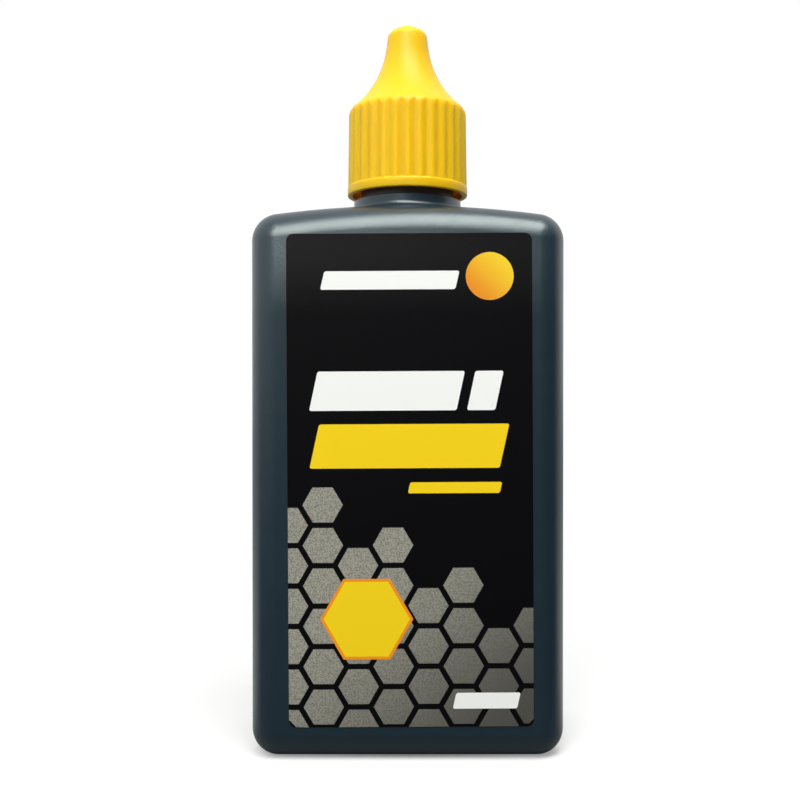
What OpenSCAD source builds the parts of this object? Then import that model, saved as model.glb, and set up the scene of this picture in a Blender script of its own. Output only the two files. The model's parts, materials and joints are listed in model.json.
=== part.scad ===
// Chain lube bottle: a flat blown bottle with a screw neck, a dropper insert pressed into
// the neck, a ribbed screw cap with a closed spire over the dropper, a film label on the
// front, and the oil that the bottle holds.
// Millimetres. +Z is up, the origin is on the table under the middle of the base, and the
// label faces -Y. The cap is drawn screwed down.

/* [Bottle body] */
// Width of the body, seen from the label side
body_w = 51.9; // [46:0.1:66]
// Depth of the body, from the label face to the back face
body_d = 28; // [25:0.5:36]
// Height of the crown of the shoulder, where the neck stands
crown_z = 91.51; // [70:0.01:130]
// How far the crown stands above the two ends of the shoulder's arch
shoulder_rise = 1.33; // [0.8:0.01:3]
// Rounding of every edge and corner of the body
edge_r = 5; // [3:0.25:7]
// Thickness of the blown wall
wall = 1; // [0.7:0.1:1.6]

/* [Base] */
// Width of the flat ring that the bottle stands on
base_ring_w = 2; // [1:0.25:4]
// Depth of the pushed-up panel inside that ring
push_up = 0.8; // [0.3:0.1:1.5]
// Slope of the push-up's side, from upright, in mm of run
push_slope = 1.2; // [0.5:0.1:3]
// Width of the pinched seam across the base
pinch_w = 0.5; // [0.3:0.1:1]
// How far the pinched seam stands down from the push-up
pinch_h = 0.3; // [0.1:0.05:0.5]

/* [Neck] */
// Radius of the plain ring under the cap
ring_r = 9.35; // [9:0.05:10]
// Height of the ring's lower edge above the crown
ring_lift = 1.09; // [0.6:0.01:2]
// Height of the ring's top edge above the crown
ring_top = 2.39; // [1.8:0.01:4]
// Radius of the fillet between the ring and the shoulder
flare_r = 1; // [0.5:0.1:2]
// Outside radius of the neck between its threads
neck_r = 8.1; // [7.8:0.05:8.5]
// Radius of the bore through the neck
bore_r = 6.3; // [5.5:0.05:6.8]
// Height of the neck's rim above the crown
neck_h = 16.49; // [15:0.01:20]
// Chamfer round the ring's top edge
ring_chamfer = 0.2; // [0.1:0.05:0.5]
// Chamfer round the neck's rim
rim_chamfer = 0.4; // [0.2:0.05:0.8]

/* [Thread] */
// Rise of the thread in one turn
pitch = 3.175; // [2.5:0.025:3.5]
// Turns of thread on the neck
neck_turns = 1.5; // [1:0.25:2]
// Turns of thread in the cap
cap_turns = 1.25; // [1:0.25:1.5]
// Height of the ridges above the wall that they stand on
thread_h = 0.85; // [0.5:0.05:1]
// Width of the ridges at their foot
thread_foot_w = 1.9; // [1.2:0.1:2]
// Width of the ridges at their crest
thread_crest_w = 0.9; // [0.5:0.1:1]
// Distance from the neck's rim down to the middle of the last turn's end
thread_drop = 2.1; // [1.6:0.1:3]
// Clearance all round between the two threads
thread_gap = 0.2; // [0.1:0.05:0.35]
// How much lower the cap's ridges are than the neck's
thread_relief = 0.05; // [0:0.01:0.2]

/* [Dropper insert] */
// Clearance between the plug's sealing beads and the neck's bore
plug_gap = 0.05; // [0.02:0.01:0.1]
// How far the sealing beads stand out from the plug
bead_h = 0.35; // [0.2:0.05:0.6]
// Height of each sealing bead
bead_w = 1; // [0.6:0.1:1.6]
// Length of the plug below the neck's rim
plug_len = 7; // [5:0.25:10]
// Wall of the plug
plug_wall = 1; // [0.7:0.1:1.4]
// Thickness of the flange on the neck's rim
flange_h = 0.9; // [0.6:0.1:1.4]
// How far the flange's edge lies inside the neck's outside
flange_inset = 0.2; // [0.1:0.05:0.5]
// Radius of the dropper nozzle at its foot
nozzle_foot_r = 4.6; // [3.5:0.1:5]
// Radius of the dropper nozzle at its tip
nozzle_tip_r = 1.45; // [1.2:0.05:1.8]
// Height of the dropper nozzle above the flange
nozzle_h = 12.1; // [9:0.1:13]
// Wall of the nozzle at its foot
nozzle_wall = 0.9; // [0.7:0.1:1.2]
// Radius of the hole that the drops leave by
orifice_r = 0.6; // [0.4:0.05:0.8]
// Length of that hole
orifice_len = 1.6; // [1:0.1:2.5]

/* [Cap] */
// Gap between the neck's ring and the cap's rim
rim_gap = 0.9; // [0.5:0.1:2]
// Height of the spire's tip above the tip of the dropper inside it
spire_over = 3.6; // [3.1:0.1:6]
// Radius of the plain band at the rim
band_r = 10.49; // [10.45:0.01:11]
// Height of the plain band
band_h = 1.65; // [1:0.05:3]
// Rounding of the band's upper edge
band_round = 0.35; // [0.1:0.05:0.5]
// Rounding of the rim's outer edge, under the band
rim_round = 0.15; // [0.05:0.05:0.4]
// Radius over the ribs at the band
skirt_r = 10.43; // [10.3:0.01:10.6]
// How much narrower the ribs are at the top of the skirt
skirt_draft = 0.175; // [0:0.005:0.3]
// Distance from the cap's ceiling down to where the skirt's top edge starts to round
corner_drop = 0.25; // [0:0.05:2]
// Rounding of the skirt's top edge
corner_r = 1.85; // [1:0.05:2.5]
// Number of grip ribs
rib_count = 30; // [20:1:40]
// Radius of the rounding of each rib
rib_r = 1.25; // [1:0.05:2]
// How much of each rib's crown is trimmed flat by the skirt
rib_flat = 0.04; // [0.02:0.01:0.15]
// Radius of the spire just under its tip
spire_r = 3.47; // [3:0.01:4]
// Slope of the spire's straight stretch, in degrees from upright
spire_slope = 7; // [3:0.5:12]
// Length of the spire's straight stretch
spire_len = 1.6; // [0.5:0.1:4]
// Rounding between the spire's side and its tip
tip_round = 1.25; // [0.6:0.05:2]
// Radius of the low dome on the spire's tip
tip_crown_r = 4.5; // [3.6:0.1:8]
// Thickness of the cap's wall over the flare and the spire
cap_wall = 1.27; // [0.9:0.01:1.5]
// Radius of the plain mouth inside the rim
mouth_r = 9.55; // [9.4:0.05:9.8]
// Depth of the plain mouth
mouth_h = 1.8; // [1:0.1:3]
// Gap between the cap's seating ring and the insert's flange
seat_gap = 0.05; // [0.02:0.01:0.2]
// Width of the seating ring
seat_w = 0.8; // [0.5:0.1:1.2]
// How far the seating ring hangs from the cap's ceiling
seat_h = 1.2; // [0.5:0.1:2]
// Clearance between the sealing pin and the dropper's hole
pin_gap = 0.05; // [0.02:0.01:0.1]
// How deep the sealing pin reaches into the dropper's hole
pin_depth = 1.1; // [0.5:0.1:1.5]

/* [Front label] */
// Width of the label
label_w = 40; // [30:0.5:42]
// Height of the label
label_h = 80.45; // [50:0.5:84]
// Thickness of the label's film
label_t = 0.12; // [0.05:0.01:0.3]
// Radius of the label's corners
label_corner_r = 1.2; // [0.5:0.1:4]
// Height of the label's lower edge above the table
label_z = 5.8; // [3:0.1:12]
// How far the label was stuck on to the right of the middle
label_shift = 0.36; // [-1:0.02:1]
// How far the label was stuck on turned to the left, in degrees
label_tilt = 0.3; // [-1:0.1:1]

/* [Oil] */
// Height of the air between the oil and the crown's inside
headspace = 12; // [6:0.5:40]
// Space left between the oil and the wall, so that the two stay separate solids
oil_gap = 0.15; // [0.05:0.05:0.3]

/* [Hidden] */
$fn = 72;

// Steps in a quarter turn of the body's rounding, and along half of the shoulder's arch
round_steps = 8;
arch_steps = 7;
// Steps of a thread ridge in one turn, and of its run-in at each end
thread_steps = 36;
run_in_steps = 4;
// Share of its height that a ridge starts and ends with
run_in_start = 0.05;
// How deep a ridge's foot is sunk in its wall, so that the two are one solid
foot_sink = 0.3;
// How far a cutting shape reaches past what it cuts
cut_past = 1;
// How far two cuts that meet end to end reach into each other
cut_lap = 0.01;

// The body is a thin core slab with an arched top, thickened all round by the rounding
core_x = body_w / 2 - edge_r;
core_y = body_d / 2 - edge_r;
core_end_z = crown_z - edge_r - shoulder_rise;
arch_r = (core_x * core_x + shoulder_rise * shoulder_rise) / (2 * shoulder_rise);
arch_z = crown_z - edge_r - arch_r;
arch_half_angle = asin(core_x / arch_r);

// Neck heights, all from the crown
ring_low_z = crown_z + ring_lift;
ring_top_z = crown_z + ring_top;
neck_top_z = crown_z + neck_h;
// The fillet turns through this angle and then runs on straight into the shoulder
flare_turn = 60;
flare_run = 2;
thread_r = neck_r + thread_h;
neck_thread_z = neck_top_z - thread_drop - pitch * neck_turns;

// Insert, seated on the neck's rim
bead_r = bore_r - plug_gap;
plug_r = bead_r - bead_h;
plug_bore_r = plug_r - plug_wall;
flange_r = neck_r - flange_inset;
flange_top_z = neck_top_z + flange_h;
nozzle_top_z = flange_top_z + nozzle_h;

// Cap, from its rim
rim_z = ring_top_z + rim_gap;
cap_top_z = nozzle_top_z + spire_over;
band_top_z = rim_z + band_h;
cap_bore_r = thread_r + thread_gap;
cap_thread_r = cap_bore_r - thread_h + thread_relief;
cap_thread_z = neck_thread_z - pitch / 2;
ceiling_z = flange_top_z + seat_gap;
corner_x = skirt_r - skirt_draft - corner_r;
corner_z = ceiling_z - corner_drop;
// The tip's fillet is tangent to the spire's side and to the low dome
tip_x = spire_r - tip_round;
dome_rise = sqrt(pow(tip_crown_r - tip_round, 2) - tip_x * tip_x);
tip_z = cap_top_z - tip_crown_r + dome_rise;
dome_angle = atan2(dome_rise, tip_x);
// Foot of the spire's straight stretch, where the flare takes over
spire_x = tip_x + tip_round * cos(spire_slope) + spire_len * sin(spire_slope);
spire_z = tip_z + tip_round * sin(spire_slope) - spire_len * cos(spire_slope);
// The flare is the one arc that leaves the spire tangent and meets the corner tangent
reach_x = spire_x - corner_x;
reach_z = spire_z - corner_z;
reach_n = reach_x * cos(spire_slope) + reach_z * sin(spire_slope);
flare_arc_r = (reach_x * reach_x + reach_z * reach_z - corner_r * corner_r)
            / (2 * (corner_r - reach_n));
flare_x = spire_x + flare_arc_r * cos(spire_slope);
flare_z = spire_z + flare_arc_r * sin(spire_slope);
corner_turn = atan2(flare_z - corner_z, flare_x - corner_x);
// The hollow follows the flare one wall further in
hollow_arc_r = flare_arc_r + cap_wall;
hollow_top_z = cap_top_z - 2 * cap_wall;
rib_x = skirt_r + rib_flat - rib_r;
pin_r = orifice_r - pin_gap;

// Points on an arc round [x, y], from angle a0 to a1, in the given number of steps
function arc(x, y, r, a0, a1, steps) =
    [for (i = [0:steps]) let (a = a0 + (a1 - a0) * i / steps) [x + r * cos(a), y + r * sin(a)]];

// Stations round the core's outline, anticlockwise as seen from the front: [x, z, angle of
// the outward normal]. A corner keeps its place while its normal turns.
function corner_stations(x, z, a0, a1) =
    [for (i = [0:round_steps]) [x, z, a0 + (a1 - a0) * i / round_steps]];
function arch_stations() =
    [for (i = [1:2 * arch_steps - 1])
        let (a = 90 - arch_half_angle + arch_half_angle * i / arch_steps)
        [arch_r * cos(a), arch_z + arch_r * sin(a), a]];
function body_stations() = concat(
    corner_stations(core_x, edge_r, -90, 0),
    corner_stations(core_x, core_end_z, 0, 90 - arch_half_angle),
    arch_stations(),
    corner_stations(-core_x, core_end_z, 90 + arch_half_angle, 180),
    corner_stations(-core_x, edge_r, 180, 270));

// The body's form: every station carries the same rounded edge from front to back, and the
// flat front and back close the loft. r is the rounding: edge_r outside, less inside.
module body_form(r) {
    stations = body_stations();
    n = len(stations);
    edge = concat(arc(0, -core_y, r, -90, 0, round_steps), arc(0, core_y, r, 0, 90, round_steps));
    m = len(edge);
    points = [for (s = stations) for (e = edge)
        [s[0] + e[0] * cos(s[2]), e[1], s[1] + e[0] * sin(s[2])]];
    sides = [for (i = [0:n - 1]) for (j = [0:m - 2])
        let (a = i * m + j, b = ((i + 1) % n) * m + j)
        [a, b, b + 1, a + 1]];
    front = [for (i = [n - 1:-1:0]) if (is_new_corner(stations, i)) i * m];
    back = [for (i = [0:n - 1]) if (is_new_corner(stations, i)) i * m + m - 1];
    polyhedron(points = points, faces = concat(sides, [front], [back]), convexity = 4);
}

// The flat faces take each core corner once, though several stations share it
function is_new_corner(stations, i) =
    i == 0 || norm([stations[i][0] - stations[i - 1][0], stations[i][1] - stations[i - 1][1]]) > 0.001;

// A thread ridge: a trapezoid swept round the axis from radius foot_r to crest_r, from the
// height z0 up, with its crest running in from the foot at both ends
module thread_ridge(foot_r, crest_r, z0, turns) {
    n = round(turns * thread_steps);
    outward = crest_r > foot_r;
    sunk_r = outward ? foot_r - foot_sink : foot_r + foot_sink;
    points = [for (i = [0:n])
        let (a = 360 * i / thread_steps,
             z = z0 + pitch * i / thread_steps,
             grown = max(run_in_start, min(1, i / run_in_steps, (n - i) / run_in_steps)),
             r = foot_r + (crest_r - foot_r) * grown)
        each [[sunk_r * cos(a), sunk_r * sin(a), z - thread_foot_w / 2],
              [r * cos(a), r * sin(a), z - thread_crest_w / 2],
              [r * cos(a), r * sin(a), z + thread_crest_w / 2],
              [sunk_r * cos(a), sunk_r * sin(a), z + thread_foot_w / 2]]];
    sides = [for (i = [0:n - 1]) for (j = [0:3])
        let (a = 4 * i + j, b = 4 * i + (j + 1) % 4, c = b + 4, d = a + 4)
        each [[a, c, d], [a, b, c]]];
    ends = [[0, 2, 1], [0, 3, 2], [4 * n, 4 * n + 1, 4 * n + 2], [4 * n, 4 * n + 2, 4 * n + 3]];
    faces = concat(sides, ends);
    polyhedron(points = points, faces = outward ? faces : [for (f = faces) [f[2], f[1], f[0]]],
               convexity = 6);
}

// A rectangle with round corners, centred
module rounded_plate(w, h, r) {
    union() {
        square([w - 2 * r, h], center = true);
        square([w, h - 2 * r], center = true);
        for (x = [-1, 1]) for (y = [-1, 1])
            translate([x * (w / 2 - r), y * (h / 2 - r)]) circle(r);
    }
}

// The panel pushed up into the base, with sloping sides, grown by the given amount
module push_up_form(grow) {
    w = 2 * (core_x - base_ring_w + grow);
    d = 2 * (core_y - base_ring_w + grow);
    hull() {
        translate([0, 0, -cut_past]) linear_extrude(cut_past) square([w, d], center = true);
        linear_extrude(push_up + grow) square([w - 2 * push_slope, d - 2 * push_slope], center = true);
    }
}

// Outline of the neck from its root under the shoulder to its rim
module neck_outline() {
    flare_x0 = ring_r + flare_r;
    end_x = flare_x0 + flare_r * cos(180 + flare_turn);
    end_z = ring_low_z + flare_r * sin(180 + flare_turn);
    root_z = crown_z - edge_r / 2;
    polygon(concat(
        [[0, root_z], [ring_r, root_z]],
        [[end_x + flare_run, end_z - flare_run / tan(flare_turn)]],
        arc(flare_x0, ring_low_z, flare_r, 180 + flare_turn, 180, round_steps),
        [[ring_r, ring_top_z - ring_chamfer], [ring_r - ring_chamfer, ring_top_z],
         [neck_r, ring_top_z], [neck_r, neck_top_z - rim_chamfer],
         [neck_r - rim_chamfer, neck_top_z], [0, neck_top_z]]));
}

module bottle() {
    color("#2b3a43") difference() {
        union() {
            body_form(edge_r);
            rotate_extrude() neck_outline();
            thread_ridge(neck_r, thread_r, neck_thread_z, neck_turns);
        }
        difference() {
            body_form(edge_r - wall);
            push_up_form(wall);
        }
        translate([0, 0, crown_z - edge_r]) cylinder(r = bore_r, h = neck_h + edge_r + cut_past);
        difference() {
            push_up_form(0);
            translate([-core_x, -pinch_w / 2, push_up - pinch_h]) cube([2 * core_x, pinch_w, push_up]);
        }
    }
}

module dropper_insert() {
    color("#e9e7df") difference() {
        union() {
            translate([0, 0, neck_top_z - plug_len]) cylinder(r = plug_r, h = plug_len + flange_h);
            for (z = [neck_top_z - plug_len + bead_w, neck_top_z - 2 * bead_w])
                translate([0, 0, z]) cylinder(r = bead_r, h = bead_w);
            translate([0, 0, neck_top_z]) cylinder(r = flange_r, h = flange_h);
            translate([0, 0, flange_top_z]) cylinder(r1 = nozzle_foot_r, r2 = nozzle_tip_r, h = nozzle_h);
        }
        translate([0, 0, neck_top_z - plug_len - cut_past])
            cylinder(r = plug_bore_r, h = plug_len + cut_past - plug_wall / 2);
        translate([0, 0, neck_top_z - plug_wall / 2 - cut_lap])
            cylinder(r1 = plug_bore_r, r2 = nozzle_foot_r - nozzle_wall,
                     h = flange_h + plug_wall / 2 + 2 * cut_lap);
        translate([0, 0, flange_top_z])
            cylinder(r1 = nozzle_foot_r - nozzle_wall, r2 = orifice_r, h = nozzle_h - orifice_len);
        translate([0, 0, flange_top_z]) cylinder(r = orifice_r, h = nozzle_h + cut_past);
    }
}

// Outside of the cap: skirt, rounded top edge, flare, spire and domed tip
module cap_outline() {
    polygon(concat(
        [[0, band_top_z - band_round], [skirt_r, band_top_z - band_round]],
        arc(corner_x, corner_z, corner_r, 0, corner_turn, 6),
        arc(flare_x, flare_z, flare_arc_r, 180 + corner_turn, 180 + spire_slope, 14),
        arc(tip_x, tip_z, tip_round, spire_slope, dome_angle, 6),
        arc(0, cap_top_z - tip_crown_r, tip_crown_r, dome_angle, 90, 5)));
}

// Cross-section of the skirt: rounded ribs side by side on a round core
module rib_section() {
    union() {
        circle(r = rib_x);
        for (i = [0:rib_count - 1])
            rotate(i * 360 / rib_count) translate([rib_x, 0]) circle(r = rib_r, $fn = 36);
    }
}

// The plain band at the rim, with both outer edges rounded
module band_outline() {
    polygon(concat(
        [[0, rim_z]],
        arc(band_r - rim_round, rim_z + rim_round, rim_round, -90, 0, 4),
        arc(band_r - band_round, band_top_z - band_round, band_round, 0, 90, 4),
        [[0, band_top_z]]));
}

// Inside of the cap: mouth, threaded bore, and the hollow under the flare and spire
module cap_hollow_outline() {
    polygon(concat(
        [[0, rim_z - cut_past], [mouth_r, rim_z - cut_past], [mouth_r, rim_z + mouth_h],
         [cap_bore_r, rim_z + mouth_h + (mouth_r - cap_bore_r)], [cap_bore_r, ceiling_z]],
        arc(flare_x, flare_z, hollow_arc_r, 180 + asin((flare_z - ceiling_z) / hollow_arc_r),
            180 + asin((flare_z - hollow_top_z) / hollow_arc_r), 12),
        [[0, hollow_top_z]]));
}

module cap() {
    pin_z = nozzle_top_z - pin_depth;
    color("#f6cf2e") union() {
        difference() {
            union() {
                intersection() {
                    rotate_extrude() cap_outline();
                    translate([0, 0, band_top_z - band_round]) linear_extrude(cap_top_z - rim_z) rib_section();
                }
                rotate_extrude() band_outline();
            }
            rotate_extrude() cap_hollow_outline();
        }
        thread_ridge(cap_bore_r, cap_thread_r, cap_thread_z, cap_turns);
        rotate_extrude() translate([flange_r - seat_w, ceiling_z]) square([seat_w, seat_h]);
        translate([0, 0, pin_z]) cylinder(r = pin_r, h = hollow_top_z + cap_wall / 2 - pin_z);
    }
}

module front_label() {
    color("#1a1a1b")
        translate([label_shift, -body_d / 2, label_z + label_h / 2])
            rotate([90, 0, 0]) rotate(label_tilt)
                linear_extrude(label_t) rounded_plate(label_w, label_h, label_corner_r);
}

module oil_fill() {
    level_z = crown_z - wall - headspace;
    color("#6b6a52") difference() {
        body_form(edge_r - wall - oil_gap);
        translate([-body_w / 2, -body_d / 2, level_z]) cube([body_w, body_d, crown_z]);
        push_up_form(wall + oil_gap);
    }
}

bottle();
dropper_insert();
cap();
front_label();
oil_fill();
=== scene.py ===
"""A chain lube bottle: a flat blown bottle with a film label, a dropper insert, oil, and a screw cap.

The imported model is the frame: every piece is built round it, in metres, and rides on its bodies.
Sizes are millimetres, and MM turns them into metres where a mesh is made. Only the studio's sizes
are metres.
"""

import json
import logging
import math
from collections.abc import Callable, Iterator, Sequence
from contextlib import contextmanager
from dataclasses import dataclass, field
from enum import Enum

import bmesh
import bpy
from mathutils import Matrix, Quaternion, Vector

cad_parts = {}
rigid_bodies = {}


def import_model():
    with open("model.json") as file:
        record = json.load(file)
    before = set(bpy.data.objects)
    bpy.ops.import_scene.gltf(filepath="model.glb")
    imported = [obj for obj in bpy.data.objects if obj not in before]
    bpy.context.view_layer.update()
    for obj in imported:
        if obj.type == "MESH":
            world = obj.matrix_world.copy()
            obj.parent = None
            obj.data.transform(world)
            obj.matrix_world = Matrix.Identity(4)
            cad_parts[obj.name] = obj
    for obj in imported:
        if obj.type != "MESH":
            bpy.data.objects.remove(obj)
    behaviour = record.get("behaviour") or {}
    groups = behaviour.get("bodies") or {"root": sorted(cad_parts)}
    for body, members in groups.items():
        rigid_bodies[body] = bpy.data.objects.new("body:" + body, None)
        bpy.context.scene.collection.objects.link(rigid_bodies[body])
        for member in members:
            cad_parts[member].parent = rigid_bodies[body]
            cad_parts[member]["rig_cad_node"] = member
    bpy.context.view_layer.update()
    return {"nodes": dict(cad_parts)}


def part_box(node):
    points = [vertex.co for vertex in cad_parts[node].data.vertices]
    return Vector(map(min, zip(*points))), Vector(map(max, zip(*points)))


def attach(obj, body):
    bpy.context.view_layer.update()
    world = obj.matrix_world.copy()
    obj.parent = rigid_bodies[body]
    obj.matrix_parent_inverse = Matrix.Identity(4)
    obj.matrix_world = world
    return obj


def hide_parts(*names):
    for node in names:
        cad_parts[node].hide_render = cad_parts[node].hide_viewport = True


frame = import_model()

MM = 0.001

# How near two points are merged, and how near a point is to the place that it is picked by
WELD = 0.004
NEAR = 0.001
ROUGHLY = 0.01

# Least part of a face's normal along an axis for the face to count as facing that way
FACING = 0.999

# Heights between which the blown faces draw in to the shoulder
SLUMP_LOW = 73.0
SLUMP_HIGH = 93.0

Point = tuple[float, float]
Colour = tuple[float, float, float]
Inputs = dict[str | int, object]

log = logging.getLogger("lube_bottle")


# Work at the bench: selecting, tracing, turning and joining


def activate(obj: bpy.types.Object) -> None:
    """Makes obj the one selected object, and the active one."""
    bpy.ops.object.select_all(action="DESELECT")
    obj.select_set(True)
    bpy.context.view_layer.objects.active = obj


def rename(obj: bpy.types.Object, name: str) -> None:
    """Gives obj and its mesh a name."""
    obj.name = obj.data.name = name


@contextmanager
def editing(obj: bpy.types.Object) -> Iterator[None]:
    """Opens a mesh in edit mode with all of it selected, and closes it afterwards.

    Args:
        obj: The mesh object to open.
    """
    activate(obj)
    bpy.ops.object.mode_set(mode="EDIT")
    bpy.ops.mesh.select_mode(type="VERT")
    bpy.ops.mesh.select_all(action="SELECT")
    yield
    bpy.ops.object.mode_set(mode="OBJECT")


def pick(kind: str, test: Callable[..., bool]) -> None:
    """Selects only the parts of the open mesh that pass a test.

    Args:
        kind: VERT, EDGE or FACE.
        test: The test, which is given the part.
    """
    bpy.ops.mesh.select_mode(type=kind)
    bpy.ops.mesh.select_all(action="DESELECT")
    mesh = bpy.context.edit_object.data
    form = bmesh.from_edit_mesh(mesh)
    for part in {"VERT": form.verts, "EDGE": form.edges, "FACE": form.faces}[kind]:
        part.select = test(part)
    form.select_flush_mode()
    bmesh.update_edit_mesh(mesh)


def pick_points(test: Callable[[Vector], bool]) -> None:
    """Selects only the points whose place, in millimetres, passes the test."""
    pick("VERT", lambda vertex: test(vertex.co / MM))


def pick_edges(test: Callable[[Vector, Vector], bool]) -> None:
    """Selects only the edges whose two ends, in millimetres, pass the test."""
    pick("EDGE", lambda edge: test(edge.verts[0].co / MM, edge.verts[1].co / MM))


def pick_faces(test: Callable[[Vector, Vector], bool]) -> None:
    """Selects only the faces whose middle, in millimetres, and normal pass the test."""
    pick("FACE", lambda face: test(face.calc_center_median() / MM, face.normal))


def weld(obj: bpy.types.Object, distance: float = WELD) -> None:
    """Merges points that lie together and turns every face outwards.

    Args:
        obj: The mesh object, closed once its doubles are merged.
        distance: How near two points are merged, in millimetres.
    """
    with editing(obj):
        bpy.ops.mesh.remove_doubles(threshold=distance * MM)
        bpy.ops.mesh.select_all(action="SELECT")
        bpy.ops.mesh.normals_make_consistent(inside=False)


def arc(x: float, z: float, r: float, start: float, end: float, steps: int) -> list[Point]:
    """Points on an arc.

    Args:
        x: Middle of the arc, away from the axis.
        z: Height of the middle.
        r: Radius.
        start: First angle in degrees, from the outward direction.
        end: Last angle in degrees.
        steps: Number of steps between the two.

    Returns:
        The points, both ends included.
    """
    turns = [math.radians(start + (end - start) * i / steps) for i in range(steps + 1)]
    return [(x + r * math.cos(a), z + r * math.sin(a)) for a in turns]


def trace(name: str, points: Sequence[Point], closed: bool = False) -> bpy.types.Object:
    """Draws an outline in the XZ plane, by one point extruded along it.

    Args:
        name: Name of the new object.
        points: Corners of the outline as (distance from the axis, height), in millimetres.
        closed: Whether the last point is joined to the first.

    Returns:
        The new object, which holds edges only.
    """
    bpy.ops.object.select_all(action="DESELECT")
    bpy.ops.mesh.primitive_plane_add(size=MM)
    obj = bpy.context.object
    rename(obj, name)
    with editing(obj):
        bpy.ops.mesh.merge(type="CENTER")
        bpy.ops.mesh.select_all(action="SELECT")
        bpy.ops.transform.translate(value=(points[0][0] * MM, 0, points[0][1] * MM))
        for (x0, z0), (x1, z1) in zip(points, points[1:]):
            step = ((x1 - x0) * MM, 0, (z1 - z0) * MM)
            bpy.ops.mesh.extrude_vertices_move(TRANSFORM_OT_translate={"value": step})
        if closed:
            ends = [Vector((x, 0, z)) for x, z in (points[0], points[-1])]
            pick_points(lambda co: min((co - end).length for end in ends) < NEAR)
            bpy.ops.mesh.edge_face_add()
    return obj


def revolve(name: str, points: Sequence[Point], steps: int, closed: bool = False) -> bpy.types.Object:
    """Turns an outline once round the upright axis.

    Args:
        name: Name of the new object.
        points: The outline as (radius, height), in millimetres. An open one ends on the axis.
        steps: Number of steps in the full turn.
        closed: Whether the outline is a loop that stays clear of the axis.

    Returns:
        The closed solid.
    """
    obj = trace(name, points, closed)
    with editing(obj):
        bpy.ops.mesh.spin(steps=steps, angle=math.tau, center=(0, 0, 0), axis=(0, 0, 1))
    weld(obj)
    return obj


def block(name: str, low: Sequence[float], high: Sequence[float]) -> bpy.types.Object:
    """Adds a box between two corners.

    Args:
        name: Name of the new object.
        low: Lowest corner in millimetres.
        high: Highest corner in millimetres.

    Returns:
        The box, with its object at the origin and its place in its mesh.
    """
    bpy.ops.object.select_all(action="DESELECT")
    bpy.ops.mesh.primitive_cube_add(size=1)
    obj = bpy.context.object
    rename(obj, name)
    with editing(obj):
        bpy.ops.transform.resize(value=[(b - a) * MM for a, b in zip(low, high)])
        bpy.ops.transform.translate(value=[(a + b) / 2 * MM for a, b in zip(low, high)])
    return obj


def apply_modifier(obj: bpy.types.Object, kind: str, **settings: object) -> None:
    """Adds one modifier to obj with these settings and applies it."""
    activate(obj)
    modifier = obj.modifiers.new(kind.title(), kind)
    for key, value in settings.items():
        setattr(modifier, key, value)
    bpy.ops.object.modifier_apply(modifier=modifier.name)


class Cut(Enum):
    """How a tool shape acts on a solid."""

    ADD = "UNION"
    TAKE = "DIFFERENCE"


def combine(obj: bpy.types.Object, tool: bpy.types.Object, cut: Cut) -> None:
    """Adds the tool's solid to obj, or takes it away, and uses the tool up."""
    apply_modifier(obj, "BOOLEAN", operation=cut.value, object=tool, solver="EXACT")
    bpy.data.objects.remove(tool)


def join(name: str, parts: Sequence[bpy.types.Object]) -> bpy.types.Object:
    """Joins separate meshes into one object of that name.

    Args:
        name: Name of the joined object.
        parts: The objects to join, each with its own mesh.

    Returns:
        The joined object.
    """
    activate(parts[0])
    for part in parts:
        part.select_set(True)
    bpy.ops.object.join()
    rename(bpy.context.object, name)
    return bpy.context.object


def smooth(obj: bpy.types.Object, crease: float) -> None:
    """Shades obj smooth, with edges sharper than crease, in degrees, kept crisp."""
    weld(obj, WELD / 4)
    activate(obj)
    bpy.ops.object.shade_smooth_by_angle(angle=math.radians(crease))
    apply_modifier(obj, "WEIGHTED_NORMAL", keep_sharp=True, weight=100)


def thread_ridge(
    name: str, section: Sequence[Point], pitch: float, turns: float, steps: int, foot: float
) -> bpy.types.Object:
    """Winds a ridge round the axis and runs it in at both ends.

    Args:
        name: Name of the new object.
        section: The ridge's outline at its lower end, as (radius, height).
        pitch: Rise in one turn.
        turns: Number of turns.
        steps: Steps in one turn.
        foot: Radius of the wall that the ridge stands on.

    Returns:
        The ridge as a closed solid.
    """
    obj = trace(name, section, closed=True)
    count = round(turns * steps)
    apply_modifier(
        obj, "SCREW", angle=math.tau * turns, screw_offset=pitch * turns * MM,
        steps=count, render_steps=count, iterations=1, use_merge_vertices=False,
    )
    middle = sum(z for _, z in section) / len(section)
    crest = max((r for r, _ in section), key=lambda r: abs(r - section[0][0]))
    run_in = (0.05, 0.4, 0.75)
    with editing(obj):
        bpy.ops.mesh.fill_holes(sides=len(section))
        for i, share in enumerate(run_in):
            for at in (i, count - i):
                z = middle + pitch * at / steps
                angle = math.tau * at / steps
                ray = Vector((math.cos(angle), math.sin(angle)))
                pick_points(
                    lambda co, z=z, ray=ray: (co.xy.normalized() - ray).length < ROUGHLY
                    and abs(co.z - z) < pitch / 2
                    and abs(co.xy.length - crest) < ROUGHLY
                )
                scale = (foot + (crest - foot) * share) / crest
                bpy.ops.transform.resize(value=(scale, scale, 1), center_override=(0, 0, 0))
    weld(obj)
    return obj


# Finishes


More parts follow.
